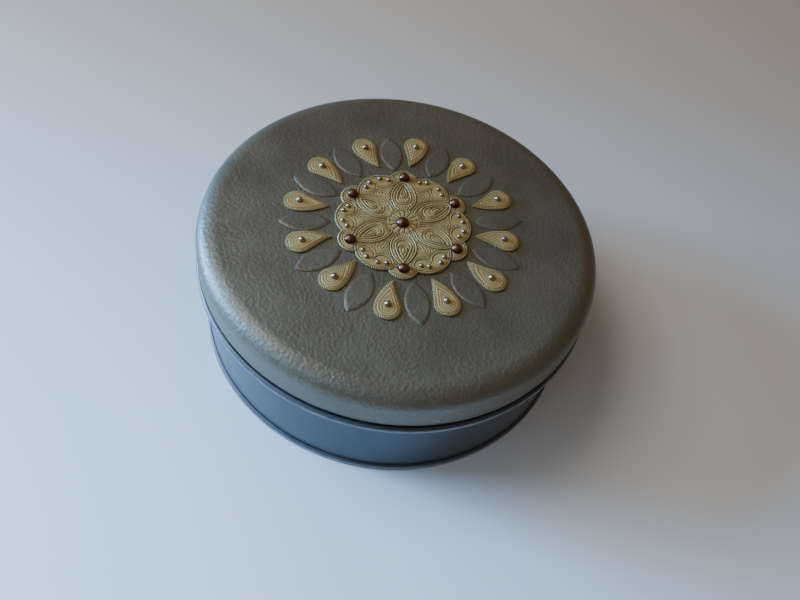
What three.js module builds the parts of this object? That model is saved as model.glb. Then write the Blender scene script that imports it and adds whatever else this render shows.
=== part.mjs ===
// Round slip-lid keepsake tin with a clay-covered, ornamented lid.
// Millimetres, +Z up. The origin is on the tin's axis, on the surface that the tin stands on.
import * as THREE from 'three';

// ---- Driving dimensions -------------------------------------------------------------------------
const STEPS = 48;              // facets round every large turned shell
const TINPLATE = 0.4;          // sheet thickness
const FIT_GAP = 0.3;           // clearance between the folded layers of one joint
const BOND_GAP = 0.05;         // glue line between the clay and the tin lid

const WALL_R = 91.4;           // outside of the body wall
const WALL_TOP = 60.0;         // top of the rolled rim
const RIM_ROLL = 0.95;         // radius of the rolled rim's section
const FLANGE_R = 92.1;         // out-turned foot of the wall, held in the base seam

const SEAM_R = 92.8;           // outside of the base seam
const SEAM_H = 3.0;            // height of the base seam
const PANEL_Z = 3.2;           // underside of the raised base panel
const BEAD_H = 0.6;            // height of the stiffening step in the base panel
const BEAD_R = 70;             // radius at the foot of that step

const LID_SKIRT_R = 92.2;      // outside of the lid's tin skirt
const CURL_R = 95;             // outside of the curl along the skirt's edge
const CURL_Z = 43.7;           // height of the curl's centre

const CLAY_T = 1.7;            // thickness of the clay cover
const CLAY_TOP = 67.0;         // height of the flat top
const CLAY_EDGE_Z = 46.4;      // lower edge of the clay on the skirt
const SHOULDER_W = 10;         // radial width of the rounded shoulder
const SHOULDER_H = 8;          // height of the rounded shoulder

const MEDALLION_T = 1.5;       // thickness of the medallion
const LOBE_R = 7.3;            // radius of a narrow lobe
const LOBE_AT = 26.0;          // distance of a narrow lobe's centre from the axis
const WIDE_LOBE_R = 12.5;      // radius of a wide lobe
const WIDE_LOBE_AT = 19.5;     // distance of a wide lobe's centre from the axis
const MEDALLION_TURN = 9.6;    // bearing of the first wide lobe, degrees

const DOME_R = 2.75;           // radius of a copper dome
const DOME_H = 2.3;            // height of a copper dome
const DOME_AT = 28.0;          // distance of the outer domes from the axis
const CENTRE_DOME_R = 3.2;     // radius of the middle dome
const CENTRE_DOME_OFF = [-0.4, -1.2];  // the middle dome was set slightly off centre by hand

const TEARDROP_T = 1.3;        // thickness of a teardrop
const TEARDROP_HEAD = 6.0;     // radius of its round head
const TEARDROP_TAIL = 15.0;    // distance from the head's centre to the tip
const TEARDROP_BEND = 1.3;     // sideways swing of the tail
const BEAD_IN = 1.3;           // distance of the bead from the head's centre, towards the tip
const TEAR_BEAD_R = 1.6;       // radius of a teardrop's bead
const TEAR_BEAD_H = 1.7;       // height of a teardrop's bead

const LEAF_T = 0.45;           // thickness of a leaf at its middle
const LEAF_LENGTH = 23.6;      // tip to tip
const LEAF_WIDTH = 11.2;       // across the middle
const LEAF_AT = 45.6;          // distance of a leaf's middle from the axis

// The trims were laid by hand round the medallion: bearing in degrees, distance of the head's centre
// from the axis, and lean of the tail in degrees.
const TEARDROPS = [
  [3, 48.6, -2], [33.5, 51, 5], [63.5, 51, -3], [93, 52.2, -1], [122.5, 51.6, 3], [152, 51.4, -1],
  [-178.5, 50.3, -1], [-150, 49.7, 4], [-120.5, 47.8, -5], [-88, 49.6, 5], [-57, 48.8, -1], [-26.5, 50.2, 1],
];
const LEAVES = [18, 48.5, 78, 107.7, 137, 166, -164.5, -135.7, -104.5, -72.5, -41.5, -11.5];

// ---- Materials ----------------------------------------------------------------------------------
function finish(color, roughness, metalness) {
  return new THREE.MeshStandardMaterial({ color, roughness, metalness });
}
const gunmetal = finish(0x4a545f, 0.42, 0.6);
const bareTin = finish(0x8f959a, 0.35, 0.9);
const pewterClay = finish(0x6c6a63, 0.5, 0.35);
const goldClay = finish(0xb39b68, 0.5, 0.4);
const copper = finish(0x6b3f30, 0.35, 0.7);
const pearl = finish(0xb8ab90, 0.3, 0.6);

// ---- Helpers ------------------------------------------------------------------------------------
const object = new THREE.Group();
const tin = new THREE.Group();
const lid = new THREE.Group();
object.add(tin, lid);

function addPart(group, name, geometry, material) {
  const mesh = new THREE.Mesh(geometry, material);
  mesh.name = name;
  group.add(mesh);
  return mesh;
}

// Turns a closed profile of [radius, height] points round the Z axis.
function turned(profile, steps = STEPS) {
  const points = profile.map(([r, z]) => new THREE.Vector2(r, z));
  const geometry = new THREE.LatheGeometry(points, steps);
  geometry.rotateX(Math.PI / 2);
  return geometry;
}

// Points on an arc of an ellipse in the [radius, height] plane, angles in degrees.
function arc(centreR, centreZ, a, b, from, to, count) {
  const points = [];
  for (let i = 0; i <= count; i += 1) {
    const angle = THREE.MathUtils.degToRad(from + ((to - from) * i) / count);
    points.push([centreR + a * Math.cos(angle), centreZ + b * Math.sin(angle)]);
  }
  return points;
}

function closed(profile) {
  return [...profile, profile[0]];
}

function outlineShape(points) {
  return new THREE.Shape(points.map(([x, y]) => new THREE.Vector2(x, y)));
}

function polar(radius, bearing) {
  const angle = THREE.MathUtils.degToRad(bearing);
  return [radius * Math.cos(angle), radius * Math.sin(angle)];
}

// ---- Tin: wall and base -------------------------------------------------------------------------
// Straight wall with a rim rolled inwards at the top and a foot turned outwards at the bottom.
function bodyWall() {
  const inner = WALL_R - TINPLATE;
  const footZ = TINPLATE + FIT_GAP;
  const rollR = WALL_R - RIM_ROLL;
  const rollZ = WALL_TOP - RIM_ROLL;
  const hollow = RIM_ROLL - TINPLATE;
  return turned(closed([
    [inner, footZ],
    [FLANGE_R, footZ],
    [FLANGE_R, footZ + TINPLATE],
    [WALL_R, footZ + TINPLATE],
    ...arc(rollR, rollZ, RIM_ROLL, RIM_ROLL, 0, 240, 8),
    ...arc(rollR, rollZ, hollow, hollow, 240, 0, 5),
  ]));
}

// Base panel, raised inside the wall's foot, whose edge folds down, under and over the foot.
function baseDisc() {
  const chuckR = WALL_R - TINPLATE - FIT_GAP;
  const hookR = WALL_R + FIT_GAP;
  const panelTop = PANEL_Z + TINPLATE;
  return turned([
    [0, PANEL_Z + BEAD_H],
    [BEAD_R - BEAD_H, PANEL_Z + BEAD_H],
    [BEAD_R, PANEL_Z],
    [chuckR - TINPLATE, PANEL_Z],
    [chuckR - TINPLATE, 0],
    [SEAM_R, 0],
    [SEAM_R, SEAM_H],
    [hookR, SEAM_H],
    [hookR, SEAM_H - TINPLATE],
    [SEAM_R - TINPLATE, SEAM_H - TINPLATE],
    [SEAM_R - TINPLATE, TINPLATE],
    [chuckR, TINPLATE],
    [chuckR, panelTop],
    [BEAD_R + TINPLATE / 2, panelTop],
    [BEAD_R + TINPLATE / 2 - BEAD_H, panelTop + BEAD_H],
    [0, panelTop + BEAD_H],
  ]);
}

addPart(tin, 'body_wall', bodyWall(), gunmetal);
addPart(tin, 'base_disc', baseDisc(), gunmetal);

// ---- Lid: tin shell and clay cover --------------------------------------------------------------
const shoulderR = LID_SKIRT_R + BOND_GAP + CLAY_T - SHOULDER_W;
const shoulderZ = CLAY_TOP - SHOULDER_H;

// The shoulder's section, inset from the clay's outer face, between the skirt and the top.
function shoulder(inset, from, to) {
  return arc(shoulderR, shoulderZ, SHOULDER_W - inset, SHOULDER_H - inset, from, to, 6);
}

// Drawn cap with a rounded shoulder, a straight skirt and an outward curl along the skirt's edge.
function lidShell() {
  const outerInset = CLAY_T + BOND_GAP;
  const innerInset = outerInset + TINPLATE;
  const skirtInner = LID_SKIRT_R - TINPLATE;
  const curlRoll = (CURL_R - skirtInner) / 2;
  const curlR = CURL_R - curlRoll;
  const curlEnd = 468;
  return turned([
    [0, CLAY_TOP - innerInset],
    ...shoulder(innerInset, 90, 0),
    ...arc(curlR, CURL_Z, curlRoll, curlRoll, 180, curlEnd, 8),
    ...arc(curlR, CURL_Z, curlRoll - TINPLATE, curlRoll - TINPLATE, curlEnd, 180, 6),
    ...shoulder(outerInset, 0, 90),
    [0, CLAY_TOP - outerInset],
  ]);
}

// Even layer of clay over the lid's top, shoulder and upper skirt, with a rounded lower edge.
function clayCover() {
  const edgeRound = CLAY_T / 2;
  const edgeR = LID_SKIRT_R + BOND_GAP + edgeRound;
  return turned([
    [0, CLAY_TOP - CLAY_T],
    ...shoulder(CLAY_T, 90, 0),
    ...arc(edgeR, CLAY_EDGE_Z + edgeRound, edgeRound, edgeRound, -180, 0, 4),
    ...shoulder(0, 0, 90),
    [0, CLAY_TOP],
  ]);
}

addPart(lid, 'lid_shell', lidShell(), bareTin);
addPart(lid, 'clay_cover', clayCover(), pewterClay);

// ---- Medallion ----------------------------------------------------------------------------------
// Distance from the centre to a lobe's circle along a bearing that is `off` degrees from the lobe's.
function lobeReach(at, radius, off) {
  const angle = THREE.MathUtils.degToRad(off);
  const across = at * Math.sin(angle);
  return at * Math.cos(angle) + Math.sqrt(Math.max(radius ** 2 - across ** 2, 0));
}

// Six wide lobes with six narrow ones between them, starting on a wide lobe.
function medallionOutline() {
  const points = [];
  const step = 5;
  for (let bearing = 0; bearing < 360; bearing += step) {
    const fromWide = ((bearing + 30) % 60) - 30;
    const fromNarrow = (bearing % 60) - 30;
    const wide = lobeReach(WIDE_LOBE_AT, WIDE_LOBE_R, fromWide);
    const narrow = Math.abs(fromNarrow) < 16 ? lobeReach(LOBE_AT, LOBE_R, fromNarrow) : 0;
    points.push(polar(Math.max(wide, narrow), bearing + MEDALLION_TURN));
  }
  return points;
}

function slab(points, thickness) {
  return new THREE.ExtrudeGeometry(outlineShape(points), { depth: thickness, bevelEnabled: false });
}

const medallion = addPart(lid, 'medallion', slab(medallionOutline(), MEDALLION_T), goldClay);
medallion.position.z = CLAY_TOP;

// Low round-topped dome standing on its flat foot.
function dome(radius, height, steps = 12) {
  return turned([[0, 0], ...arc(0, 0, radius, height, 0, 90, 3)], steps);
}

const domeZ = CLAY_TOP + MEDALLION_T;
for (let i = 0; i < 6; i += 1) {
  const [x, y] = polar(DOME_AT, MEDALLION_TURN + 30 + 60 * i);
  const name = `copper_dome_${i + 1}`;
  addPart(lid, name, dome(DOME_R, DOME_H), copper).position.set(x, y, domeZ);
}
const middle = addPart(lid, 'copper_dome_7', dome(CENTRE_DOME_R, DOME_H), copper);
middle.position.set(...CENTRE_DOME_OFF, domeZ);

// ---- Teardrops with their beads -----------------------------------------------------------------
// Outline with the round head at the origin and the tip towards -Y; `side` mirrors the bent tail.
function teardropOutline(side) {
  const points = [];
  for (let angle = -10; angle <= 190; angle += 20) {
    points.push(polar(TEARDROP_HEAD, angle));
  }
  const flank = (t) => TEARDROP_HEAD * (1 - t) ** 0.9 * (1 + 0.25 * t);
  const swing = (t) => side * TEARDROP_BEND * (1.9 * t ** 2.4 - 0.9 * t);
  const sections = 6;
  const start = TEARDROP_HEAD * Math.sin(THREE.MathUtils.degToRad(10));
  for (let i = 1; i < sections; i += 1) {
    const t = i / sections;
    points.push([swing(t) - flank(t), -start - t * (TEARDROP_TAIL - start)]);
  }
  points.push([side * TEARDROP_BEND, -TEARDROP_TAIL]);
  for (let i = sections - 1; i >= 1; i -= 1) {
    const t = i / sections;
    points.push([swing(t) + flank(t), -start - t * (TEARDROP_TAIL - start)]);
  }
  return points;
}

// A positive lean swings the tip clockwise round the axis of the tin, as seen from above.
TEARDROPS.forEach(([bearing, distance, lean], i) => {
  const holder = new THREE.Group();
  const [x, y] = polar(distance, bearing);
  holder.position.set(x, y, CLAY_TOP);
  holder.rotation.z = THREE.MathUtils.degToRad(bearing - 90 + lean);
  lid.add(holder);
  const side = i % 2 === 0 ? 1 : -1;
  addPart(holder, `teardrop_${i + 1}`, slab(teardropOutline(side), TEARDROP_T), goldClay);
  const bead = addPart(holder, `teardrop_bead_${i + 1}`, dome(TEAR_BEAD_R, TEAR_BEAD_H, 10), pearl);
  bead.position.set(0, -BEAD_IN, TEARDROP_T);
});

// ---- Leaves between the teardrops ---------------------------------------------------------------
// Pointed oval made of two equal arcs, long axis along Y.
function leafOutline() {
  const half = LEAF_LENGTH / 2;
  const sagitta = LEAF_WIDTH / 2;
  const arcR = (half ** 2 + sagitta ** 2) / (2 * sagitta);
  const sweep = THREE.MathUtils.radToDeg(Math.asin(half / arcR));
  const points = [];
  const count = 8;
  for (const side of [1, -1]) {
    for (let i = 0; i < count; i += 1) {
      const angle = -sweep + (2 * sweep * i) / count;
      const [x, y] = polar(arcR, angle);
      points.push([side * (x - arcR + sagitta), side * y]);
    }
  }
  return points;
}

LEAVES.forEach((bearing, i) => {
  const leaf = addPart(lid, `leaf_${i + 1}`, slab(leafOutline(), LEAF_T), pewterClay);
  const [x, y] = polar(LEAF_AT, bearing);
  leaf.position.set(x, y, CLAY_TOP);
  leaf.rotation.z = THREE.MathUtils.degToRad(bearing - 90);
});

export default object;
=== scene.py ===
"""The looks of the round keepsake tin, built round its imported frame.

Shapes are worked out in millimetres and turned into metres when a mesh is made. A turned piece is a
closed section in the [radius, height] plane, listed anticlockwise so that its faces point out.
"""
import math

import bpy
import numpy as np
from mathutils import Matrix, Vector, noise


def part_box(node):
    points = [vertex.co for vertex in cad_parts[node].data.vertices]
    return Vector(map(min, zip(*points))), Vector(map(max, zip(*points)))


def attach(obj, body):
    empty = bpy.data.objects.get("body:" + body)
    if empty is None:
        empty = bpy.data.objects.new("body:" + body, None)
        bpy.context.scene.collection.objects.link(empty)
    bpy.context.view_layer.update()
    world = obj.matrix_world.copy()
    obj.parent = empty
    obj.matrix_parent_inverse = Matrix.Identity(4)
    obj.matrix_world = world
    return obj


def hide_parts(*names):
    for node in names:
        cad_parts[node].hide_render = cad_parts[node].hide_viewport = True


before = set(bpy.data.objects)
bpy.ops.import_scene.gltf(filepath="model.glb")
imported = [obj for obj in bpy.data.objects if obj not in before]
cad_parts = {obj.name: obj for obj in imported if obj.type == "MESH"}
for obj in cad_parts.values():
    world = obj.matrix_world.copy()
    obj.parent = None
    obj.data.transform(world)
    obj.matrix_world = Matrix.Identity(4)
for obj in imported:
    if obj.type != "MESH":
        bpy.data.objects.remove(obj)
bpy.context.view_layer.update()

MM = 0.001
ROUND_STEPS = 360          # facets round the large turned pieces
COVER_STEPS = 1080         # and round the grained clay
MEDALLION_STEPS = 1080
MEDALLION_RINGS = 170

# ---- Dimensions in mm ----------------------------------------------------------------------------
TINPLATE = 0.4
FIT_GAP = 0.3
BOND_GAP = 0.05
BEDDED = 0.35              # how deep the decorations sit in the cover's grain
SEAM_GAP = 0.05            # between the wall and the seam's folded edge
RIM_ROLL = 0.95            # radius of the wall's rolled rim
PANEL_Z = 3.2              # underside of the raised base panel
CLAY_T = 1.7
LIP_INNER = 0.5            # rounding on the inside of the clay's lower edge
LIP_TAPER = 4.0            # height over which the clay thins down to that edge
SHOULDER_W = 10.0
SHOULDER_H = 8.0
CURL_Z = 43.7
CURL_OPENING = 468         # where the curl's sheet ends, degrees round its section
LAP_BEARING = 104          # where the wall's lap seam is, degrees round the tin
LAP_HALF_W = 2.4
LAP_STEP = 0.16
CLAY_GRAIN = 1.5           # size of the pebbles in the clay

LOBE_R = 7.3               # narrow lobes of the medallion
LOBE_AT = 26.0
WIDE_LOBE_R = 12.5
WIDE_LOBE_AT = 19.5
PETAL_AT = 15.6            # middle of a petal, from the medallion's middle
PETAL_HALF_L = 10.9
PETAL_HALF_W = 6.3
OUTER_FLAME = (10.7, 3.9, 25.0)          # where it starts, its half width, where its tip is
INNER_FLAME = (14.7, 2.0, 22.6)
DOT_ARC_AT = 16.3
DOT_ARC_R = 2.85
DAISY_R = 7.7
SCOOP_AT = (27.0, 4.75)    # the round hollow behind two pearls: along and across its lobe
SCOOP_R = 4.35
NEST_AT = 19.2             # middle of the nested arcs between the petals
NEST_SIZES = (0.7, 1.9, 3.1, 4.3, 5.5)
MEDALLION_ROPE = 0.95      # pitch of the rope edge
PATTERN_DEPTH = 0.45       # from the medallion's highest point to the pattern's mean level
PEARL_R = 1.15
PEARL_H = 1.75
PEARL_SPOTS = ((26.6, -13.2), (28.1, -6.2), (28.1, 6.2), (26.6, 13.2))   # distance, degrees off
TEARDROP_HEAD = 6.0
TEARDROP_TAIL = 15.0
TEARDROP_BEND = 1.3
TEARDROP_ROPE = 1.15
BEAD_IN = 1.3
LEAF_HALF_L = 11.8
LEAF_HALF_W = 5.6


def node_box(name):
    """The lowest and highest corners of a CAD node, in mm."""
    low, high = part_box(name)
    return np.array(low) / MM, np.array(high) / MM


def node_centre(name):
    low, high = node_box(name)
    return (low + high) / 2


WALL_TOP = node_box("body_wall")[1][2]
WALL_R = node_box("body_wall")[1][0] - (FIT_GAP + TINPLATE)
SEAM_R = node_box("base_disc")[1][0]
SEAM_H = 3.0
CURL_R = node_box("lid_shell")[1][0]
CLAY_R = node_box("clay_cover")[1][0]
CLAY_TOP = node_box("clay_cover")[1][2]
CLAY_EDGE_Z = node_box("clay_cover")[0][2]
SKIRT_R = CLAY_R - CLAY_T - BOND_GAP
MEDALLION_TOP = node_box("medallion")[1][2]
FIRST_DOME = node_centre("copper_dome_1")
MEDALLION_TURN = math.atan2(FIRST_DOME[1], FIRST_DOME[0]) - math.radians(30)


# ---- Camera --------------------------------------------------------------------------------------
CAMERA_ELEVATION = math.radians(53.32)
CAMERA_ROLL = math.radians(12.56)
CAMERA_DISTANCE = 0.3395
CAMERA_AIM = Vector((0.0062, -0.0282, 0.0460))
CAMERA_LENS = 33.0


def make_camera():
    data = bpy.data.cameras.new("camera")
    data.lens = CAMERA_LENS
    data.sensor_width = 36
    data.clip_start = 0.01
    data.clip_end = 20
    camera = bpy.data.objects.new("camera", data)
    back = Vector((0, -math.cos(CAMERA_ELEVATION), math.sin(CAMERA_ELEVATION)))
    up = Vector((0, math.sin(CAMERA_ELEVATION), math.cos(CAMERA_ELEVATION)))
    across = Vector((1, 0, 0))
    right = across * math.cos(CAMERA_ROLL) + up * math.sin(CAMERA_ROLL)
    above = up * math.cos(CAMERA_ROLL) - across * math.sin(CAMERA_ROLL)
    turn = Matrix((right, above, back)).transposed().to_4x4()
    camera.matrix_world = Matrix.Translation(CAMERA_AIM + back * CAMERA_DISTANCE) @ turn
    bpy.context.collection.objects.link(camera)
    bpy.context.scene.camera = camera


make_camera()


# ---- Mesh helpers --------------------------------------------------------------------------------
def arc(centre_r, centre_z, a, b, start, end, steps):
    """Points on an ellipse's arc in the section plane, angles in degrees."""
    angles = np.radians(np.linspace(start, end, steps + 1))
    return np.column_stack((centre_r + a * np.cos(angles), centre_z + b * np.sin(angles)))


def soften(points, radius, steps):
    """Rounds a section at each point but its two ends, with short curves of about that radius."""
    points = np.asarray(points, float)
    out = [points[0]]
    for last, corner, following in zip(points, points[1:], points[2:]):
        before = last - corner
        after = following - corner
        size_before = np.linalg.norm(before)
        size_after = np.linalg.norm(after)
        reach = min(radius, 0.45 * size_before, 0.45 * size_after)
        start = corner + before / size_before * reach
        end = corner + after / size_after * reach
        for t in np.linspace(0, 1, steps + 1):
            out.append((1 - t) ** 2 * start + 2 * t * (1 - t) * corner + t ** 2 * end)
    out.append(points[-1])
    return np.array(out)


def spread(points, longest):
    """Adds points along the straight stretches so that none is longer than that."""
    points = np.asarray(points, float)
    out = [points[0]]
    for start, end in zip(points[:-1], points[1:]):
        pieces = max(1, math.ceil(np.linalg.norm(end - start) / longest))
        for k in range(1, pieces + 1):
            out.append(start + (end - start) * k / pieces)
    return np.array(out)


def store(mesh, key, numbers):
    """Keeps one number for each point of a mesh, for a material to read."""
    layer = mesh.attributes.new(key, "FLOAT", "POINT")
    layer.data.foreach_set("value", numbers)


def ring_mesh(name, rings, first=None, last=None, loop=False, values=None):
    """A closed mesh from rings of points in mm, with an end point where a ring isn't joined to the next.

    values holds named numbers for each ring point, which materials read as attributes.
    """
    rings = np.asarray(rings, float)
    count, around = rings.shape[:2]
    points = rings.reshape(-1, 3)
    index = np.arange(count * around).reshape(count, around)
    ahead = np.roll(index, -1, axis=1)
    following = np.roll(index, -1, axis=0) if loop else index[1:]
    following_ahead = np.roll(ahead, -1, axis=0) if loop else ahead[1:]
    here = index if loop else index[:-1]
    here_ahead = ahead if loop else ahead[:-1]
    quads = np.stack((here, here_ahead, following_ahead, following), axis=-1).reshape(-1, 4)
    faces = quads.tolist()
    ends = []
    if first is not None:
        pole = len(points)
        ends.append(first)
        faces += [(pole, b, a) for a, b in zip(index[0].tolist(), ahead[0].tolist())]
    if last is not None:
        pole = len(points) + len(ends)
        ends.append(last)
        faces += [(a, b, pole) for a, b in zip(index[-1].tolist(), ahead[-1].tolist())]
    if ends:
        points = np.vstack((points, np.array(ends, float)))
    mesh = bpy.data.meshes.new(name)
    mesh.from_pydata((points * MM).tolist(), [], faces)
    for key, numbers in (values or {}).items():
        numbers = np.asarray(numbers, float).reshape(-1)
        store(mesh, key, np.concatenate((numbers, np.zeros(len(points) - len(numbers)))))
    mesh.polygons.foreach_set("use_smooth", [True] * len(mesh.polygons))
    mesh.update()
    piece = bpy.data.objects.new(name, mesh)
    bpy.context.collection.objects.link(piece)
    return piece


def lathe(name, section, steps=ROUND_STEPS, loop=False, shape=None, centre=(0, 0)):
    """Turns a section round the Z axis. It ends on the axis, or closes on itself if loop is set."""
    section = np.asarray(section, float)
    first = last = None
    if not loop:
        first = (centre[0], centre[1], section[0][1])
        last = (centre[0], centre[1], section[-1][1])
        section = section[1:-1]
    angles = np.linspace(0, 2 * math.pi, steps, endpoint=False)
    rings = np.empty((len(section), steps, 3))
    rings[:, :, 0] = section[:, 0, None] * np.cos(angles)
    rings[:, :, 1] = section[:, 0, None] * np.sin(angles)
    rings[:, :, 2] = section[:, 1, None]
    if shape:
        rings = shape(rings)
    rings[:, :, 0] += centre[0]
    rings[:, :, 1] += centre[1]
    return ring_mesh(name, rings, first, last, loop)


def smooth_step(low, high, value):
    t = np.clip((value - low) / (high - low), 0, 1)
    return t * t * (3 - 2 * t)


def field(points, size, offset=0.0):
    """Smooth noise from -1 to 1 at each point, with features of about that size in mm."""
    flat = points.reshape(-1, 3) / size + offset
    numbers = [noise.noise(Vector(p)) for p in flat.tolist()]
    return np.array(numbers).reshape(points.shape[:-1])


def pebbles(points, size):
    """Rounded cells, as in fine leather: 0 in the creases and 1 on the pebbles."""
    flat = points.reshape(-1, 3) / size
    numbers = []
    for p in flat.tolist():
        near = noise.voronoi(Vector(p))[0]
        numbers.append(near[1] - near[0])
    return smooth_step(0, 0.55, np.array(numbers).reshape(points.shape[:-1]))


def polar(radius, angle):
    return np.array((radius * math.cos(angle), radius * math.sin(angle)))


# ---- Materials -----------------------------------------------------------------------------------
class Nodes:
    """A short way to build a material's node tree."""

    def __init__(self, name):
        self.material = bpy.data.materials.new(name)
        self.material.use_nodes = True
        self.tree = self.material.node_tree
        self.tree.nodes.clear()
        self.output = self.add("ShaderNodeOutputMaterial")
        self.shader = self.add("ShaderNodeBsdfPrincipled")
        self.link(self.shader.outputs[0], self.output.inputs["Surface"])
        self.place = self.add("ShaderNodeTexCoord").outputs["Object"]

    def add(self, kind, **settings):
        node = self.tree.nodes.new(kind)
        for key, value in settings.items():
            setattr(node, key, value)
        return node

    def link(self, start, end):
        self.tree.links.new(start, end)

    def plug(self, socket, value):
        if hasattr(value, "is_output"):
            self.link(value, socket)
        else:
            socket.default_value = value

    def noise(self, scale, detail=3.0, rough=0.5, place=None):
        node = self.add("ShaderNodeTexNoise")
        self.link(place or self.place, node.inputs["Vector"])
        node.inputs["Scale"].default_value = scale
        node.inputs["Detail"].default_value = detail
        node.inputs["Roughness"].default_value = rough
        return node.outputs["Fac"]

    def cells(self, scale, smooth):
        node = self.add("ShaderNodeTexVoronoi", feature="SMOOTH_F1")
        self.link(self.place, node.inputs["Vector"])
        node.inputs["Scale"].default_value = scale
        node.inputs["Smoothness"].default_value = smooth
        return node.outputs["Distance"]

    def math(self, kind, a, b=0.0, clamp=False):
        node = self.add("ShaderNodeMath", operation=kind, use_clamp=clamp)
        self.plug(node.inputs[0], a)
        self.plug(node.inputs[1], b)
        return node.outputs[0]

    def span(self, value, low, high, out_low=0.0, out_high=1.0):
        node = self.add("ShaderNodeMapRange", interpolation_type="SMOOTHSTEP")
        self.plug(node.inputs["Value"], value)
        node.inputs["From Min"].default_value = low
        node.inputs["From Max"].default_value = high
        node.inputs["To Min"].default_value = out_low
        node.inputs["To Max"].default_value = out_high
        return node.outputs[0]

    def mix(self, factor, a, b):
        node = self.add("ShaderNodeMix", data_type="RGBA")
        self.plug(node.inputs[0], factor)
        for socket, value in ((node.inputs[6], a), (node.inputs[7], b)):
            self.plug(socket, (*value, 1) if isinstance(value, tuple) else value)
        return node.outputs[2]

    def attribute(self, name):
        return self.add("ShaderNodeAttribute", attribute_name=name).outputs["Fac"]

    def bump(self, height, depth, under=None):
        node = self.add("ShaderNodeBump")
        node.inputs["Strength"].default_value = 1.0
        node.inputs["Distance"].default_value = depth * MM
        self.link(height, node.inputs["Height"])
        if under:
            self.link(under, node.inputs["Normal"])
        return node.outputs[0]

    def finish(self, color, roughness, metallic, normal=None, coat=0.0, coat_rough=0.1, specular=0.5):
        shader = self.shader.inputs
        self.plug(shader["Base Color"], color)
        self.plug(shader["Roughness"], roughness)
        self.plug(shader["Metallic"], metallic)
        if normal:
            self.link(normal, shader["Normal"])
        shader["Specular IOR Level"].default_value = specular
        shader["Coat Weight"].default_value = coat
        shader["Coat Roughness"].default_value = coat_rough
        return self.material


def painted_tin():
    """Satin gunmetal enamel: faint orange peel, fine scuffs and a little wear."""
    n = Nodes("gunmetal_paint")
    cloud = n.noise(35, 4, 0.6)
    flake = n.noise(2600, 2, 0.5)
    scuff = n.span(n.noise(420, 5, 0.7), 0.60, 0.72)
    color = n.mix(n.span(cloud, 0.3, 0.7), (0.036, 0.040, 0.046), (0.048, 0.052, 0.058))
    color = n.mix(n.math("MULTIPLY", flake, 0.25), color, (0.11, 0.12, 0.13))
    rough = n.math("ADD", n.span(cloud, 0.3, 0.7, 0.27, 0.36), n.math("MULTIPLY", scuff, 0.10))
    peel = n.bump(n.noise(700, 2, 0.5), 0.012)
    grit = n.bump(flake, 0.006, peel)
    return n.finish(color, rough, 0.4, grit, specular=0.45)


def worn_edge_paint():
    """The same enamel, rubbed through to bright tin on the outermost edge."""
    n = Nodes("gunmetal_paint_worn")
    cloud = n.noise(60, 4, 0.6)
    worn = n.math("MULTIPLY", n.attribute("wear"), n.span(n.noise(160, 5, 0.6), 0.30, 0.60, 0.35, 1.0))
    color = n.mix(n.span(cloud, 0.3, 0.7), (0.055, 0.060, 0.066), (0.075, 0.080, 0.086))
    color = n.mix(worn, color, (0.22, 0.225, 0.23))
    rough = n.span(cloud, 0.3, 0.7, 0.38, 0.48)
    return n.finish(color, rough, 0.35, n.bump(n.noise(900, 2, 0.5), 0.012), coat=0.2)


def bare_tinplate():
    """Plain tinplate: faint rolling grain and tin spangle."""
    n = Nodes("bare_tinplate")
    mapping = n.add("ShaderNodeMapping")
    n.link(n.place, mapping.inputs["Vector"])
    mapping.inputs["Scale"].default_value = (1, 28, 1)
    rolling = n.noise(110, 4, 0.6, mapping.outputs[0])
    cloud = n.noise(50, 3, 0.5)
    color = n.mix(cloud, (0.50, 0.50, 0.49), (0.62, 0.62, 0.60))
    rough = n.math("ADD", n.span(rolling, 0.3, 0.7, 0.20, 0.34), n.math("MULTIPLY", cloud, 0.06))
    return n.finish(color, rough, 1.0, n.bump(rolling, 0.01))


def pewter_clay(name="pewter_clay", grain=1.0):
    """Pewter pearl clay with mica shimmer and a fine leather grain."""
    n = Nodes(name)
    cloud = n.noise(28, 5, 0.6)
    mica = n.noise(3200, 2, 0.6)
    grain_small = n.noise(900, 3, 0.6)
    cells = n.cells(620, 0.7)
    color = n.mix(n.span(cloud, 0.3, 0.7), (0.121, 0.099, 0.062), (0.153, 0.127, 0.082))
    color = n.mix(n.span(mica, 0.56, 0.72, 0.0, 0.55), color, (0.36, 0.32, 0.23))
    rough = n.math("ADD", n.span(cloud, 0.3, 0.7, 0.36, 0.44), n.math("MULTIPLY", mica, 0.10))
    normal = n.bump(cells, 0.14 * grain)
    normal = n.bump(grain_small, 0.08 * grain, normal)
    return n.finish(color, rough, 0.42, normal, coat=0.08, coat_rough=0.2)


def gold_clay():
    """Gold pearl clay, with a dark wash left in the stamped grooves and painted shade along the side
    walls of the gold pieces.
    """
    n = Nodes("antique_gold_clay")
    cloud = n.noise(90, 4, 0.6)
    mica = n.noise(3600, 2, 0.6)
    # The dark colour follows the wash in the stamped grooves, and also darkens the pieces' side walls as
    # painted shade.
    wash_and_shade = n.math("MULTIPLY", n.attribute("wash_and_shade"), n.span(cloud, 0.2, 0.6, 0.65, 1.0), clamp=True)
    color = n.mix(n.span(cloud, 0.3, 0.7), (0.41, 0.28, 0.100), (0.51, 0.36, 0.140))
    color = n.mix(n.span(mica, 0.5, 0.75, 0.0, 0.4), color, (0.74, 0.58, 0.28))
    color = n.mix(wash_and_shade, color, (0.070, 0.050, 0.024))
    rough = n.math("ADD", n.span(cloud, 0.3, 0.7, 0.42, 0.52), n.math("MULTIPLY", wash_and_shade, 0.25))
    return n.finish(color, rough, 0.38, n.bump(n.noise(1500, 3, 0.6), 0.03))


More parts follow.
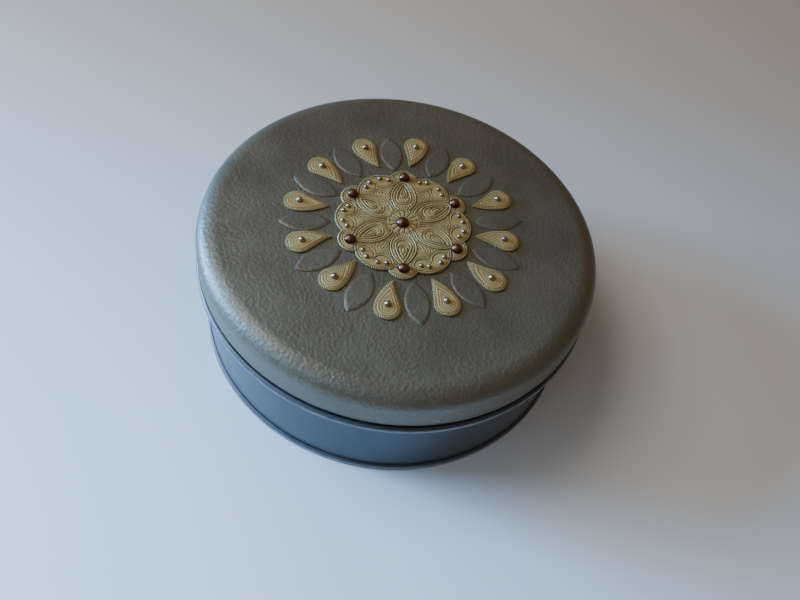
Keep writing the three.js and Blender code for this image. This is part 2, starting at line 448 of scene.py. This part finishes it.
def aged_copper():
    """Mottled copper, darker low down, with a painted highlight brightening the crown."""
    n = Nodes("aged_copper")
    patches = n.noise(520, 4, 0.65)
    crown_highlight = n.attribute("crown_highlight")
    # Painted highlight: the colour brightens towards the top of each dome.
    painted_highlight = n.math("MULTIPLY", crown_highlight, n.span(patches, 0.35, 0.6, 0.35, 1.0))
    color = n.mix(n.span(patches, 0.38, 0.6), (0.030, 0.017, 0.014), (0.105, 0.040, 0.027))
    color = n.mix(painted_highlight, color, (0.27, 0.105, 0.070))
    rough = n.span(patches, 0.35, 0.65, 0.38, 0.22)
    return n.finish(color, rough, 0.85, n.bump(patches, 0.05))


def pearl_metal():
    """Small polished silver-beige beads."""
    n = Nodes("pearl_metal")
    cloud = n.noise(600, 3, 0.6)
    color = n.mix(n.span(cloud, 0.35, 0.65), (0.30, 0.245, 0.150), (0.46, 0.40, 0.29))
    return n.finish(color, n.span(cloud, 0.3, 0.7, 0.14, 0.24), 0.9, n.bump(cloud, 0.015))


MATERIALS = {
    "gunmetal_paint": painted_tin(),
    "worn_edge": worn_edge_paint(),
    "bare_tinplate": bare_tinplate(),
    "pewter_clay": pewter_clay(),
    "leaf_clay": pewter_clay("pewter_clay_leaf", 0.8),
    "antique_gold_clay": gold_clay(),
    "aged_copper": aged_copper(),
    "pearl_metal": pearl_metal(),
}


def settle(piece, body, slot, node=None, materials=None):
    """Gives a piece its materials (the slot's own unless a list is given) and the body it rides on, and
    hides the CAD node it stands for.
    """
    for key in materials or [slot]:
        piece.data.materials.append(MATERIALS[key])
    if node:
        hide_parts(node)
    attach(piece, body)


def paint_faces(piece, test, slot_index):
    """Gives the faces whose middle (mm) passes the test another of the piece's materials."""
    for face in piece.data.polygons:
        if test(face.center / MM):
            face.material_index = slot_index


# ---- Tin -----------------------------------------------------------------------------------------
def add_lap_seam(rings):
    """Steps the wall out over a narrow strip at the back, where the sheet's ends overlap."""
    bearing = np.degrees(np.arctan2(rings[:, :, 1], rings[:, :, 0]))
    off = np.abs(bearing - LAP_BEARING) * math.radians(1) * WALL_R
    step = LAP_STEP * (1 - smooth_step(LAP_HALF_W, LAP_HALF_W + 0.5, off))
    radius = np.hypot(rings[:, :, 0], rings[:, :, 1])
    above_foot = smooth_step(SEAM_H, SEAM_H + 0.6, rings[:, :, 2])
    below_rim = 1 - smooth_step(WALL_TOP - 3.0, WALL_TOP - 2.2, rings[:, :, 2])
    grow = 1 + step / radius * above_foot * below_rim
    rings[:, :, 0] *= grow
    rings[:, :, 1] *= grow
    return rings


def make_wall():
    inner = WALL_R - TINPLATE
    foot = TINPLATE + FIT_GAP
    flange = WALL_R + FIT_GAP + TINPLATE
    roll_r = WALL_R - RIM_ROLL
    roll_z = WALL_TOP - RIM_ROLL
    straight = spread([(WALL_R, foot + TINPLATE), (WALL_R, roll_z)], 1.5)
    section = np.vstack((
        [(inner, foot), (flange, foot), (flange, foot + TINPLATE)],
        straight[:-1],
        arc(roll_r, roll_z, RIM_ROLL, RIM_ROLL, 0, 240, 20),
        arc(roll_r, roll_z, RIM_ROLL - TINPLATE, RIM_ROLL - TINPLATE, 240, 0, 16),
    ))
    inside = spread([section[-1], section[0]], 1.5)[1:-1]
    section = np.vstack((section, inside))
    wall = lathe("wall", section, loop=True, shape=add_lap_seam)
    settle(wall, "tin", "gunmetal_paint", "body_wall", ["gunmetal_paint", "bare_tinplate"])
    paint_faces(wall, lambda p: math.hypot(p.x, p.y) < WALL_R - TINPLATE / 2, 1)


def panel_height(radius):
    """Height of the base panel's pressed rings above its flat, by distance from the axis."""
    step = 0.6 * (1 - smooth_step(69.4, 70.6, radius))
    ring = 0.35 * np.exp(-((radius - 80) / 1.6) ** 2)
    dish = 0.35 * (1 - smooth_step(28, 29.4, radius))
    return step + ring + dish


def make_base():
    chuck = WALL_R - TINPLATE - FIT_GAP
    hook = WALL_R + SEAM_GAP
    panel_r = np.concatenate((np.arange(0, 26, 4), np.arange(26, 31, 0.3), np.arange(32, 68, 4),
                              np.arange(68, 72, 0.25), np.arange(73, 84, 0.4)))
    under = np.column_stack((panel_r, PANEL_Z + panel_height(panel_r)))
    over = under[::-1] + (0, TINPLATE)
    edge = soften([
        under[-1],
        (chuck - TINPLATE, PANEL_Z),
        (chuck - TINPLATE, 0),
        (SEAM_R, 0),
        (SEAM_R, SEAM_H - 1.1),
        (SEAM_R - 0.45, SEAM_H - 0.25),
        (hook, SEAM_H),
        (hook, SEAM_H - TINPLATE),
        (SEAM_R - TINPLATE, SEAM_H - TINPLATE),
        (SEAM_R - TINPLATE, TINPLATE),
        (chuck, TINPLATE),
        (chuck, PANEL_Z + TINPLATE),
        over[0],
    ], 0.35, 5)
    section = np.vstack((under[:-1], edge, over[1:]))
    base = lathe("base", section)
    wear_at(base, lambda p: smooth_step(SEAM_R - 0.35, SEAM_R, np.hypot(p[:, 0], p[:, 1])))
    settle(base, "tin", "gunmetal_paint", "base_disc", ["worn_edge", "bare_tinplate"])
    paint_faces(base, lambda p: p.z > PANEL_Z + 0.2 and math.hypot(p.x, p.y) < WALL_R and face_up(p), 1)


def face_up(p):
    """True above the middle of the base panel's sheet."""
    radius = math.hypot(p.x, p.y)
    return p.z > PANEL_Z + panel_height(radius) + TINPLATE / 2


def wear_at(piece, formula):
    """Stores how much each point of a piece is rubbed, from a formula of its place in mm."""
    mesh = piece.data
    points = np.empty(len(mesh.vertices) * 3)
    mesh.vertices.foreach_get("co", points)
    store(mesh, "wear", formula(points.reshape(-1, 3) / MM))


# ---- Lid -----------------------------------------------------------------------------------------
def shoulder(inset, start, end, steps=24):
    """The shoulder's section, that far inside the clay's outer face."""
    centre_r = CLAY_R - SHOULDER_W
    centre_z = CLAY_TOP - SHOULDER_H
    return arc(centre_r, centre_z, SHOULDER_W - inset, SHOULDER_H - inset, start, end, steps)


def make_lid_shell():
    outer = CLAY_T + BOND_GAP
    inner = outer + TINPLATE
    skirt_inner = SKIRT_R - TINPLATE
    roll = (CURL_R - skirt_inner) / 2
    roll_r = CURL_R - roll
    section = np.vstack((
        [(0, CLAY_TOP - inner)],
        shoulder(inner, 90, 0),
        arc(roll_r, CURL_Z, roll, roll, 180, CURL_OPENING, 36),
        arc(roll_r, CURL_Z, roll - TINPLATE, roll - TINPLATE, CURL_OPENING, 180, 28),
        shoulder(outer, 0, 90),
        [(0, CLAY_TOP - outer)],
    ))
    shell = lathe("lid_tin", spread(section, 4.0))
    wear_at(shell, lambda p: smooth_step(CURL_R - 0.5, CURL_R, np.hypot(p[:, 0], p[:, 1])))
    settle(shell, "lid", "bare_tinplate", "lid_shell", ["bare_tinplate", "worn_edge"])
    paint_faces(shell, lambda p: math.hypot(p.x, p.y) > SKIRT_R - TINPLATE / 2, 1)


def make_clay_cover():
    lip_steps = 6
    lip_r = CLAY_R - CLAY_T + LIP_INNER
    outside = np.vstack((
        arc(lip_r, CLAY_EDGE_Z + LIP_INNER, LIP_INNER, LIP_INNER, -180, -90, lip_steps),
        arc(lip_r, CLAY_EDGE_Z + LIP_TAPER, CLAY_R - lip_r, LIP_TAPER, -90, 0, 16)[1:],
        shoulder(0, 0, 90, 30),
        [(0, CLAY_TOP)],
    ))
    outside = spread(outside, 0.5)
    count_outside = len(outside)
    section = np.vstack((
        [(0, CLAY_TOP - CLAY_T)],
        shoulder(CLAY_T, 90, 0, 12),
        outside,
    ))
    first_outside = len(section) - count_outside

    def add_grain(rings):
        skin = rings[first_outside + lip_steps:]
        relief = 0.06 * (pebbles(skin, CLAY_GRAIN) - 1)
        relief += 0.07 * (field(skin, 16) - 1) + 0.03 * (field(skin, 5, 7.3) - 1)
        radius = np.hypot(skin[:, :, 0], skin[:, :, 1])
        slope = np.clip((radius - (CLAY_R - SHOULDER_W)) / SHOULDER_W, 0, 1)
        up = np.sqrt(1 - slope ** 2)
        skin[:, :, 2] += relief * up
        skin[:, :, 0] *= 1 + relief * slope / radius
        skin[:, :, 1] *= 1 + relief * slope / radius
        return rings

    cover = lathe("clay_lid", section, steps=COVER_STEPS, shape=add_grain)
    settle(cover, "lid", "pewter_clay", "clay_cover")


# ---- Medallion -----------------------------------------------------------------------------------
def fold(angle, period, phase=0.0):
    """Angle from the nearest of the evenly spaced bearings phase, phase + period, ..."""
    return (angle - phase + period / 2) % period - period / 2


def lobe_reach(at, radius, off):
    """Distance from the middle to a lobe's circle, at a bearing off the lobe's middle line."""
    across = at * np.sin(off)
    return at * np.cos(off) + np.sqrt(np.maximum(radius ** 2 - across ** 2, 0))


def medallion_reach(angle):
    """Distance from the middle to the medallion's edge; bearing 0 is the middle of a wide lobe."""
    sixth = math.radians(60)
    from_wide = fold(angle, sixth)
    from_narrow = fold(angle, sixth, sixth / 2)
    wide = lobe_reach(WIDE_LOBE_AT, WIDE_LOBE_R, from_wide)
    narrow = lobe_reach(LOBE_AT, LOBE_R, from_narrow)
    return np.maximum(wide, np.where(np.abs(from_narrow) < math.radians(16), narrow, 0))


def groove(distance, width):
    """1 where the distance is nought, falling to 0 past the width."""
    return np.exp(-(distance / width) ** 2)


def oval_edge(along, across, half_length, half_width):
    """Distance outside a pointed oval made of two arcs, negative inside."""
    radius = (half_length ** 2 + half_width ** 2) / (2 * half_width)
    return np.hypot(along, np.abs(across) + radius - half_width) - radius


def flame_edge(along, across, start, half_width, tip):
    """Distance outside a flame: round at its start, narrowing to a point at its tip."""
    widest = start + half_width
    reach = tip - widest
    past = along - widest
    side = np.abs(across) - half_width * (1 - (past / reach) ** 2)
    side = side / np.hypot(1, 2 * half_width * past / reach ** 2)
    return np.where(past > 0, side, np.hypot(past, across) - half_width)


class Pattern:
    """The stamped pattern at a set of points: how deep it is cut and how far it is raised, in mm."""

    def __init__(self, x, y):
        self.radius = np.hypot(x, y)
        self.angle = np.arctan2(y, x)
        self.cut = np.zeros_like(self.radius)
        self.lift = np.zeros_like(self.radius)
        sixth = math.radians(60)
        self.wide_x, self.wide_y = self.along_across(fold(self.angle, sixth))
        self.petal_x, self.petal_y = self.along_across(fold(self.angle, sixth, sixth / 2))

        self.petal = oval_edge(self.petal_x - PETAL_AT, self.petal_y, PETAL_HALF_L, PETAL_HALF_W)
        self.in_petal = smooth_step(0.1, -0.1, self.petal)
        self.in_daisy = smooth_step(DAISY_R, DAISY_R - 0.3, self.radius)
        self.off_petal = (1 - self.in_petal) * (1 - self.in_daisy)

        self.wide_edge = WIDE_LOBE_R - np.hypot(self.wide_x - WIDE_LOBE_AT, self.wide_y)
        self.narrow_edge = LOBE_R - np.hypot(self.petal_x - LOBE_AT, self.petal_y)
        self.edge = np.where(self.wide_edge > 0, self.wide_edge, self.narrow_edge)
        self.border = smooth_step(19.0, 20.5, self.radius) * (1 - self.in_petal)
        hollows = [np.hypot(self.wide_x - SCOOP_AT[0], self.wide_y - side * SCOOP_AT[1])
                   for side in (1, -1)]
        self.scoop = np.minimum(*hollows) - SCOOP_R

    def along_across(self, off):
        """Distance along and across a lobe's middle line, from the bearing off that line."""
        return self.radius * np.cos(off), self.radius * np.sin(off)

    def carve(self, distance, width, depth, where):
        """Cuts a groove of that width where the distance is nought."""
        self.cut = np.maximum(self.cut, depth * groove(distance, width) * where)

    def swell(self, height, where):
        self.lift = self.lift + height * where


def stamp_petals(p):
    """A raised double outline, two flames, an arc of small dots and a fringe at the inner end."""
    outside_daisy = 1 - p.in_daisy
    p.carve(p.petal, 0.28, 0.32, outside_daisy)
    p.carve(p.petal + 1.15, 0.22, 0.24, outside_daisy)
    p.swell(0.12 * groove(p.petal + 0.57, 0.38), outside_daisy)

    heart = smooth_step(-1.3, -1.6, p.petal) * outside_daisy
    outer = flame_edge(p.petal_x, p.petal_y, *OUTER_FLAME)
    inner = flame_edge(p.petal_x, p.petal_y, *INNER_FLAME)
    for line in (outer, outer + 1.15, inner, inner + 1.1):
        p.carve(line, 0.25, 0.26, heart)
    p.swell(0.10 * groove(outer + 0.58, 0.35), heart)
    p.swell(0.10 * smooth_step(0.0, -0.8, inner), heart)

    past = p.petal_x - DOT_ARC_AT
    around = np.arctan2(p.petal_y, -past)
    on_arc = groove(np.hypot(past, p.petal_y) - DOT_ARC_R, 0.28) * (past < 0.3)
    dots = np.cos(7 * around) ** 8 * on_arc
    p.carve((1 - dots) * 0.6, 0.2, 0.25, heart)

    fringe = smooth_step(10.7, 10.2, p.radius) * smooth_step(7.8, 8.2, p.radius)
    ticks = fold(p.angle, math.radians(4.6)) * p.radius
    p.carve(ticks, 0.14, 0.22, fringe * smooth_step(-1.0, -1.2, p.petal))


def stamp_borders(p):
    """Wide lobes lie over the narrow ones; each has a rope edge and two border lines."""
    swing_wide = np.arctan2(p.wide_y, p.wide_x - WIDE_LOBE_AT) * WIDE_LOBE_R
    swing_narrow = np.arctan2(p.petal_y, p.petal_x - LOBE_AT) * LOBE_R
    swing = np.where(p.wide_edge > 0, swing_wide, swing_narrow)
    rope = fold(swing + 0.45 * p.edge, MEDALLION_ROPE)
    p.carve(rope, 0.20, 0.30, smooth_step(1.0, 0.85, p.edge) * p.border)
    p.carve(p.edge - 1.2, 0.22, 0.32, p.border)
    p.carve(p.edge - 2.15, 0.17, 0.22, p.border)
    p.carve(p.wide_edge, 0.20, 0.34, p.border * smooth_step(21, 23, p.radius))
    p.swell(0.16 * groove(p.edge - 0.62, 0.5), p.border)


def stamp_pearl_hollows(p):
    """Two round hollows in each wide lobe, with a bracket on their inner side."""
    band = (1 - p.in_petal) * smooth_step(2.2, 2.5, p.edge) * (p.wide_edge > 0)
    bracket = band * smooth_step(28.0, 26.0, p.wide_x)
    p.carve(p.scoop, 0.25, 0.30, bracket)
    p.carve(p.scoop - 1.05, 0.20, 0.22, bracket)
    p.swell(-0.10 * smooth_step(0.3, -0.3, p.scoop), bracket)


def stamp_nested_arcs(p):
    """Nested arcs between the petals."""
    inner = p.off_petal * smooth_step(1.3, 1.6, p.scoop) * smooth_step(0.5, 0.8, p.petal)
    past = p.wide_x - NEST_AT
    nest = np.where(past > 0, np.hypot(past, p.wide_y), np.abs(p.wide_y) + past ** 2 / 60)
    for size in NEST_SIZES:
        p.carve(nest - size, 0.22, 0.20, inner)
    p.carve(p.scoop - 1.35, 0.16, 0.16, p.off_petal)
    p.carve(p.petal - 0.7, 0.16, 0.18, p.off_petal * smooth_step(21.5, 20.5, p.radius))


def stamp_daisy(p):
    """The daisy round the middle dome, with a ring of scallops."""
    half = math.radians(12)
    ray = fold(p.angle, 2 * half)
    p.carve((half - np.abs(ray)) * p.radius, 0.17, 0.28, p.in_daisy * smooth_step(3.0, 3.4, p.radius))
    tip = 6.7 - 0.75 * (ray / half) ** 2
    p.carve(p.radius - tip, 0.20, 0.26, 1.0)
    scallops = smooth_step(0.4, -0.4, p.petal) + p.off_petal * 0.6
    p.carve(p.radius - tip - 0.75, 0.16, 0.20, scallops)
    p.swell(0.12 * np.cos(ray / half * math.pi / 2), p.in_daisy)


def medallion_relief(x, y):
    """(height, wash_and_shade) of the stamped pattern: height in mm, and the dark wash in the grooves
    from 0 to 1.
    """
    p = Pattern(x, y)
    stamp_petals(p)
    stamp_borders(p)
    stamp_pearl_hollows(p)
    stamp_nested_arcs(p)
    stamp_daisy(p)
    rim = medallion_reach(p.angle) - p.radius
    pillow = 0.12 * smooth_step(0, 6, p.edge)
    round_over = 0.45 * np.exp(-rim / 0.35)
    under_wide = 0.05 * (1 - smooth_step(-0.05, 0.15, p.wide_edge)) * p.border
    height = pillow + p.lift - p.cut - round_over - under_wide
    return height, np.clip(p.cut / 0.27, 0, 1)


def make_medallion():
    angles = np.linspace(0, 2 * math.pi, MEDALLION_STEPS, endpoint=False)
    bearing = angles + MEDALLION_TURN
    reach = medallion_reach(angles)
    top = MEDALLION_TOP - PATTERN_DEPTH
    rings = []
    washes_and_shade = []

    def add_ring(share, height, wash_and_shade=0.0):
        x = reach * share * np.cos(bearing)
        y = reach * share * np.sin(bearing)
        rings.append(np.column_stack((x, y, np.broadcast_to(height, angles.shape))))
        washes_and_shade.append(np.broadcast_to(wash_and_shade, angles.shape))

    floor = CLAY_TOP - BEDDED
    for share in (0.3, 0.7, 0.97):
        add_ring(share, floor)
    # The side wall's rings take half the dark colour: painted shade where the medallion stands on the
    # clay.
    for share, height in ((0.995, 0.05), (1.0, 0.18), (1.0, 0.38)):
        add_ring(share, CLAY_TOP + height, 0.5)
    outward = np.column_stack((np.cos(angles), np.sin(angles), np.zeros(MEDALLION_STEPS)))
    for share in 1 - np.linspace(0, 1, MEDALLION_RINGS + 1)[:-1]:
        place = outward * (reach * share)[:, None]
        wander_x = 0.30 * field(place, 7.0)
        wander_y = 0.30 * field(place, 7.0, 31.7)
        height, wash_and_shade = medallion_relief(place[:, 0] + wander_x, place[:, 1] + wander_y)
        height = np.minimum(height, PATTERN_DEPTH - 0.03)
        add_ring(share, np.maximum(top + height, CLAY_TOP + 0.45), wash_and_shade)
    middle = (0, 0, top + 0.1)
    piece = ring_mesh("medallion_relief", rings, (0, 0, floor), middle, values={"wash_and_shade": washes_and_shade})
    settle(piece, "lid", "antique_gold_clay", "medallion")


# ---- Domes, beads and pearls ---------------------------------------------------------------------
def make_dome(name, radius, height, foot, place, seed=0.0, uneven=0.03, steps=48):
    """A round-topped bead with a small drawn-in foot, never quite regular."""
    section = np.vstack((
        [(0, 0)],
        soften([(radius * 0.3, 0), (radius * 0.90, 0), (radius * 0.93, foot)], 0.1, 2),
        arc(0, foot, radius, height - foot, 4, 90, 18)[:-1],
        [(0, height)],
    ))

    def uneven_shape(rings):
        swell = 1 + uneven * field(rings + place[0] * 3.1 + seed, radius * 1.2)
        swell = np.minimum(swell, 1.0 + uneven)
        rings[:, :, 0] *= swell / (1 + uneven)
        rings[:, :, 1] *= swell / (1 + uneven)
        return rings

    piece = lathe(name, section, steps=steps, shape=uneven_shape, centre=place[:2])
    mesh = piece.data
    for point in mesh.vertices:
        point.co.z += place[2] * MM
    heights = [(point.co.z / MM - place[2]) / height for point in mesh.vertices]
    # How high up the dome each point is; the copper uses it for a painted highlight on the crown.
    store(mesh, "crown_highlight", smooth_step(0.35, 0.95, np.array(heights)))
    return piece


def make_domes():
    for i in range(1, 8):
        node = f"copper_dome_{i}"
        low, high = node_box(node)
        radius = (high[0] - low[0]) / 2
        place = ((low[0] + high[0]) / 2, (low[1] + high[1]) / 2, MEDALLION_TOP - 0.55)
        dome = make_dome(f"copper_bead_{i}", radius, high[2] - place[2], 0.35, place, i, 0.05)
        settle(dome, "lid", "aged_copper", node)


def make_pearls():
    number = 0
    for lobe in range(6):
        for distance, off in PEARL_SPOTS:
            number += 1
            wobble = noise.noise(Vector((number * 1.7, lobe * 0.9, 3.3)))
            angle = MEDALLION_TURN + math.radians(60 * lobe + off + 1.6 * wobble)
            spot = polar(distance + 0.4 * wobble, angle)
            place = (spot[0], spot[1], MEDALLION_TOP - 0.75)
            pearl = make_dome(f"pearl_{number}", PEARL_R, PEARL_H, 0.5, place, number, 0.02, steps=32)
            settle(pearl, "lid", "pearl_metal")


# ---- Teardrops and leaves ------------------------------------------------------------------------
def run_along(outline):
    """Distance along an outline to each of its points."""
    return np.concatenate(([0], np.cumsum(np.hypot(*np.diff(outline, axis=0).T))))


def teardrop_outline(side, samples=180):
    """Round head at the origin and tip towards -Y; side mirrors the bent tail."""
    start = TEARDROP_HEAD * math.sin(math.radians(10))
    t = np.linspace(0, 1, samples)[1:]
    half = TEARDROP_HEAD * (1 - t) ** 0.9 * (1 + 0.25 * t)
    swing = side * TEARDROP_BEND * (1.9 * t ** 2.4 - 0.9 * t)
    down = -start - t * (TEARDROP_TAIL - start)
    head = np.radians(np.linspace(-10, 190, samples))
    head = np.column_stack((TEARDROP_HEAD * np.cos(head), TEARDROP_HEAD * np.sin(head)))
    left = np.column_stack((swing - half, down))
    right = np.column_stack((swing + half, down))
    outline = np.vstack((head, left, right[::-1][1:]))
    return even_points(outline, 200)


def even_points(outline, count):
    """The same closed outline with its points spaced evenly."""
    loop = np.vstack((outline, outline[:1]))
    run = run_along(loop)
    spots = np.linspace(0, run[-1], count, endpoint=False)
    return np.column_stack((np.interp(spots, run, loop[:, 0]), np.interp(spots, run, loop[:, 1])))


def stamp(name, outline, thickness, height_at, place, turn):
    """A flat piece whose top follows height_at(share, run, ring_place).

    share is 1 on the outline and 0 at the origin, run is the distance along the outline, and
    ring_place is where the points are.
    """
    count = len(outline)
    run = run_along(outline)
    turned = outline @ np.array(((math.cos(turn), math.sin(turn)), (-math.sin(turn), math.cos(turn))))
    rings = []
    washes_and_shade = []

    def add_ring(share, height, wash_and_shade=0.0):
        ring = np.empty((count, 3))
        ring[:, :2] = turned * share + place[:2]
        ring[:, 2] = place[2] + height
        rings.append(ring)
        washes_and_shade.append(np.broadcast_to(wash_and_shade, (count,)))

    for share in (0.4, 0.97):
        add_ring(share, -BEDDED)
    # The side wall's rings take 0.4 of the dark colour, which the gold clay shows as painted shade at
    # the piece's foot.
    for share, rise in ((0.992, 0.08), (1.0, 0.25), (1.0, 0.5)):
        add_ring(share, thickness * rise, 0.4)
    for share in 1 - np.linspace(0, 1, 57)[:-1]:
        height, wash_and_shade = height_at(share, run, ring_place=turned * share)
        add_ring(share, height, wash_and_shade)
    height, _ = height_at(0.0, run, ring_place=turned * 0.0)
    last = (place[0], place[1], place[2] + float(np.mean(height)))
    first = (place[0], place[1], place[2] - BEDDED)
    return ring_mesh(name, rings, first, last, values={"wash_and_shade": washes_and_shade})


def teardrop_frame(i):
    """Where the teardrop's head is, and how far it is turned, from its CAD node and its bead's."""
    bead = node_centre(f"teardrop_bead_{i}")[:2]
    corners = np.array([v.co[:2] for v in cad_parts[f"teardrop_{i}"].data.vertices]) / MM
    tip = corners[np.argmax(np.hypot(*(corners - bead).T))]
    side = 1 if i % 2 else -1
    drawn = math.atan2(-TEARDROP_TAIL + BEAD_IN, side * TEARDROP_BEND)
    real = math.atan2(tip[1] - bead[1], tip[0] - bead[0])
    turn = real - drawn
    head = bead - polar(BEAD_IN, turn - math.pi / 2)
    return head, turn, side


def make_teardrops():
    low, high = node_box("teardrop_1")
    thickness = high[2] - low[2]
    for i in range(1, 13):
        head, turn, side = teardrop_frame(i)
        outline = teardrop_outline(side)
        girth = run_along(np.vstack((outline, outline[:1])))[-1]
        pitch = girth / round(girth / TEARDROP_ROPE)

        def height_at(share, run, ring_place, i=i):
            cut = np.zeros(len(run))
            edge = (1 - share) * TEARDROP_HEAD
            rope = fold(run + 0.8 * edge, pitch)
            cut = np.maximum(cut, 0.38 * groove(rope, 0.26) * smooth_step(1.15, 0.95, edge))
            for line, width, depth in ((1.35, 0.22, 0.20), (2.6, 0.26, 0.11), (3.8, 0.28, 0.08)):
                cut = np.maximum(cut, depth * groove(edge - line, width))
            round_over = 0.5 * np.exp(-edge / 0.35)
            body = thickness - 0.30 + 0.16 * (1 - share ** 2)
            spot = np.column_stack((ring_place, np.full(len(run), i * 9.1)))
            body = body + 0.05 * field(spot, 4.0)
            height = np.clip(body - cut - round_over, thickness * 0.5, thickness)
            return height, np.clip(cut / 0.30, 0, 1)

        place = (head[0], head[1], CLAY_TOP)
        piece = stamp(f"teardrop_relief_{i}", outline, thickness, height_at, place, turn)
        settle(piece, "lid", "antique_gold_clay", f"teardrop_{i}")
        make_teardrop_bead(i)


def make_teardrop_bead(i):
    node = f"teardrop_bead_{i}"
    low, high = node_box(node)
    middle = (low + high) / 2
    place = (middle[0], middle[1], low[2] - 0.45)
    bead = make_dome(f"bead_{i}", (high[1] - low[1]) / 2, high[2] - place[2], 0.5, place, i, 0.02, 40)
    settle(bead, "lid", "pearl_metal", node)


def make_leaves():
    low, high = node_box("leaf_1")
    thickness = high[2] - low[2]
    radius = (LEAF_HALF_L ** 2 + LEAF_HALF_W ** 2) / (2 * LEAF_HALF_W)
    sweep = math.asin(LEAF_HALF_L / radius)
    angles = np.linspace(-sweep, sweep, 100)
    side = np.column_stack((radius * np.cos(angles) - radius + LEAF_HALF_W, radius * np.sin(angles)))
    outline = even_points(np.vstack((side[:-1], -side[:-1])), 200)
    for i in range(1, 13):
        centre = node_centre(f"leaf_{i}")
        turn = math.atan2(centre[1], centre[0]) - math.pi / 2

        def height_at(share, run, ring_place, i=i):
            edge = (1 - share) * LEAF_HALF_W
            spot = np.column_stack((ring_place, np.full(len(run), i * 5.3)))
            swell = 0.03 * field(spot, 5.0) - 0.04 + 0.02 * (pebbles(spot, CLAY_GRAIN) - 1)
            height = thickness * smooth_step(-0.6, 1.1, edge) + swell
            return np.clip(height, 0.03, thickness), np.zeros(len(run))

        place = (centre[0], centre[1], CLAY_TOP)
        name = f"leaf_relief_{i}"
        piece = stamp(name, outline, thickness * 0.3, height_at, place, turn)
        settle(piece, "lid", "pewter_clay", f"leaf_{i}", ["leaf_clay"])


# ---- Stage: floor and lights ---------------------------------------------------------------------
def make_floor():
    """A plain pale sheet, just under the tin."""
    n = Nodes("floor_paper")
    cloud = n.noise(3, 3, 0.5)
    n.finish(n.mix(cloud, (0.78, 0.78, 0.78), (0.80, 0.80, 0.80)), 0.9, 0.0)
    mesh = bpy.data.meshes.new("floor")
    size = 6.0
    corners = [(-size, -size), (size, -size), (size, size), (-size, size)]
    mesh.from_pydata([(x, y, -0.0001) for x, y in corners], [], [(0, 1, 2, 3)])
    mesh.materials.append(n.material)
    floor = bpy.data.objects.new("floor", mesh)
    bpy.context.collection.objects.link(floor)


def area_light(name, place, aim, size, power, color, spread):
    """A rectangular light in metres and watts; spread is its beam's angle in degrees."""
    data = bpy.data.lights.new(name, "AREA")
    data.shape = "RECTANGLE"
    data.size, data.size_y = size
    data.energy = power
    data.color = color
    data.spread = math.radians(spread)
    light = bpy.data.objects.new(name, data)
    light.location = place
    light.rotation_euler = (Vector(aim) - Vector(place)).to_track_quat("-Z", "Y").to_euler()
    bpy.context.collection.objects.link(light)


def make_lights():
    """Two cool lights for a window on the left, soft sky over the front, and a warm dim room."""
    area_light(
        "window", place=(-0.80, -0.10, 0.35), aim=(0, -0.35, 0),
        size=(0.35, 0.25), power=4.0, color=(0.20, 0.50, 1.0), spread=60,
    )
    area_light(
        "window_low", place=(-0.80, 0.12, 0.14), aim=(-0.09, -0.03, 0.05),
        size=(0.3, 0.16), power=1.2, color=(0.14, 0.45, 1.0), spread=50,
    )
    area_light(
        "sky_front", place=(-0.25, -0.50, 0.45), aim=(-0.25, -0.50, 0),
        size=(0.4, 0.4), power=1.0, color=(0.40, 0.68, 1.0), spread=120,
    )
    area_light(
        "sky_left", place=(-0.45, -0.25, 0.50), aim=(-0.40, -0.25, 0),
        size=(0.4, 0.3), power=0.5, color=(0.65, 0.77, 1.0), spread=120,
    )
    area_light(
        "room", place=(-0.60, 0.10, 0.90), aim=(-0.1, 0, 0),
        size=(0.6, 0.6), power=4.6, color=(1.0, 0.96, 0.85), spread=180,
    )
    world = bpy.data.worlds.new("world")
    world.use_nodes = True
    sky = world.node_tree.nodes["Background"]
    sky.inputs["Color"].default_value = (1.0, 0.80, 0.60, 1)
    sky.inputs["Strength"].default_value = 0.17
    bpy.context.scene.world = world


make_floor()
make_lights()
make_wall()
make_base()
make_lid_shell()
make_clay_cover()
make_medallion()
make_domes()
make_pearls()
make_teardrops()
make_leaves()
